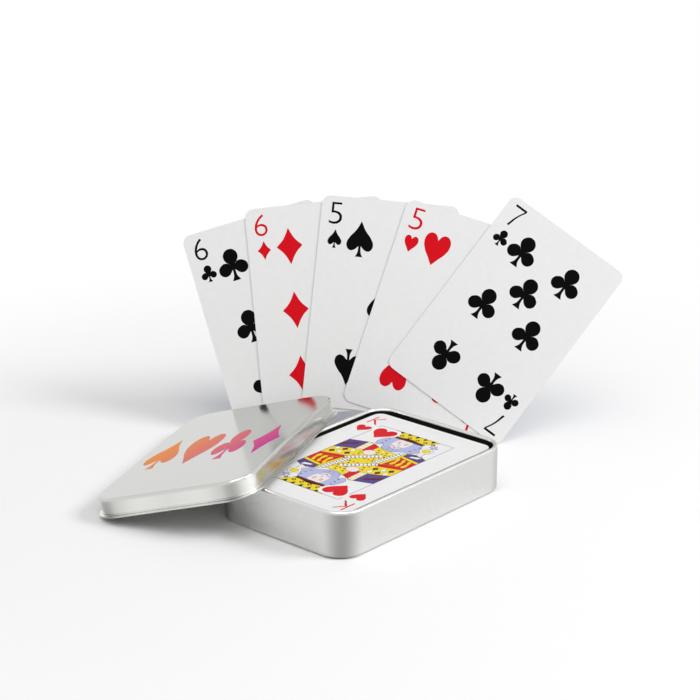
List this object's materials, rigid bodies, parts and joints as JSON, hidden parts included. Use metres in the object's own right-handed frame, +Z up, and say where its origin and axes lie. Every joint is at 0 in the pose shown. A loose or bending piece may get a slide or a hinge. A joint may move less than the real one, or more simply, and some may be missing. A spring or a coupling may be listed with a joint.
{
  "type": "playing card tin with slip-over lid",
  "caption": "Flat rounded sheet-metal tin holding a stack of playing cards, its slip-over lid leaning on the rim and more cards fanned upright behind it.",
  "frame": {"origin": "middle of the flat underside of the tin", "axes": "+X along the tin's long side, +Y along its short side towards the lid that lies aside, +Z up"},
  "size_m": [0.2143, 0.1552, 0.0926],
  "materials": {
    "tinplate": "fine satin tinplate, bare silver",
    "card_stock": "smooth coated card stock, printed"
  },
  "bodies": {
    "tin": {"tin_base": "tinplate"},
    "deck": {"card_joker_1": "card_stock", "card_joker_2": "card_stock", "card_ace_clubs": "card_stock", "card_2_clubs": "card_stock", "card_3_clubs": "card_stock", "card_4_clubs": "card_stock", "card_5_clubs": "card_stock", "card_8_clubs": "card_stock", "card_9_clubs": "card_stock", "card_10_clubs": "card_stock", "card_jack_clubs": "card_stock", "card_queen_clubs": "card_stock", "card_king_clubs": "card_stock", "card_ace_diamonds": "card_stock", "card_2_diamonds": "card_stock", "card_3_diamonds": "card_stock", "card_4_diamonds": "card_stock", "card_5_diamonds": "card_stock", "card_7_diamonds": "card_stock", "card_8_diamonds": "card_stock", "card_9_diamonds": "card_stock", "card_10_diamonds": "card_stock", "card_jack_diamonds": "card_stock", "card_queen_diamonds": "card_stock", "card_king_diamonds": "card_stock", "card_ace_spades": "card_stock", "card_2_spades": "card_stock", "card_3_spades": "card_stock", "card_4_spades": "card_stock", "card_6_spades": "card_stock", "card_7_spades": "card_stock", "card_8_spades": "card_stock", "card_9_spades": "card_stock", "card_10_spades": "card_stock", "card_jack_spades": "card_stock", "card_queen_spades": "card_stock", "card_king_spades": "card_stock", "card_ace_hearts": "card_stock", "card_2_hearts": "card_stock", "card_3_hearts": "card_stock", "card_4_hearts": "card_stock", "card_6_hearts": "card_stock", "card_7_hearts": "card_stock", "card_8_hearts": "card_stock", "card_9_hearts": "card_stock", "card_10_hearts": "card_stock", "card_jack_hearts": "card_stock", "card_queen_hearts": "card_stock", "card_king_hearts": "card_stock"},
    "lid": {"tin_lid": "tinplate"},
    "fan_middle": {"card_5_spades": "card_stock"},
    "fan_far_left": {"card_6_clubs": "card_stock"},
    "fan_left": {"card_6_diamonds": "card_stock"},
    "fan_right": {"card_5_hearts": "card_stock"},
    "fan_far_right": {"card_7_clubs": "card_stock"}
  },
  "joints": [
    {"name": "deck_lift", "type": "slide", "parent": "tin", "child": "deck", "axis": [0, 0, 1], "range_m": [0, 0.04]},
    {"name": "lid_lift", "type": "slide", "parent": "deck", "child": "lid", "axis": [0, 0, 1], "range_m": [0, 0.06]},
    {"name": "fan_lift", "type": "slide", "parent": "tin", "child": "fan_middle", "axis": [0, 0, 1], "range_m": [0, 0.04]},
    {"name": "fan_close", "type": "hinge", "parent": "fan_middle", "child": "fan_far_right", "pos_m": [0.04859, 0.01251, -0.03419], "axis": [-0.7093, -0.5642, 0.4226], "range_deg": [0, 31.5]},
    {"name": "fan_close_right", "type": "hinge", "parent": "fan_middle", "child": "fan_right", "pos_m": [0.02334, 0.02921, -0.05507], "axis": [-0.7093, -0.5642, 0.4226], "range_deg": [-0.1, 12.6]},
    {"name": "fan_close_left", "type": "hinge", "parent": "fan_middle", "child": "fan_left", "pos_m": [0.02612, 0.02489, -0.05773], "axis": [-0.7093, -0.5642, 0.4226], "range_deg": [-11.6, 0.1]},
    {"name": "fan_close_far_left", "type": "hinge", "parent": "fan_middle", "child": "fan_far_left", "pos_m": [0.02949, 0.02707, -0.04995], "axis": [-0.7093, -0.5642, 0.4226], "range_deg": [-22.6, 0.1]}
  ],
  "couplings": [
    {"joint": "fan_close_right", "follows": "fan_close", "ratio": 0.39682},
    {"joint": "fan_close_left", "follows": "fan_close", "ratio": -0.36508},
    {"joint": "fan_close_far_left", "follows": "fan_close", "ratio": -0.71429}
  ]
}
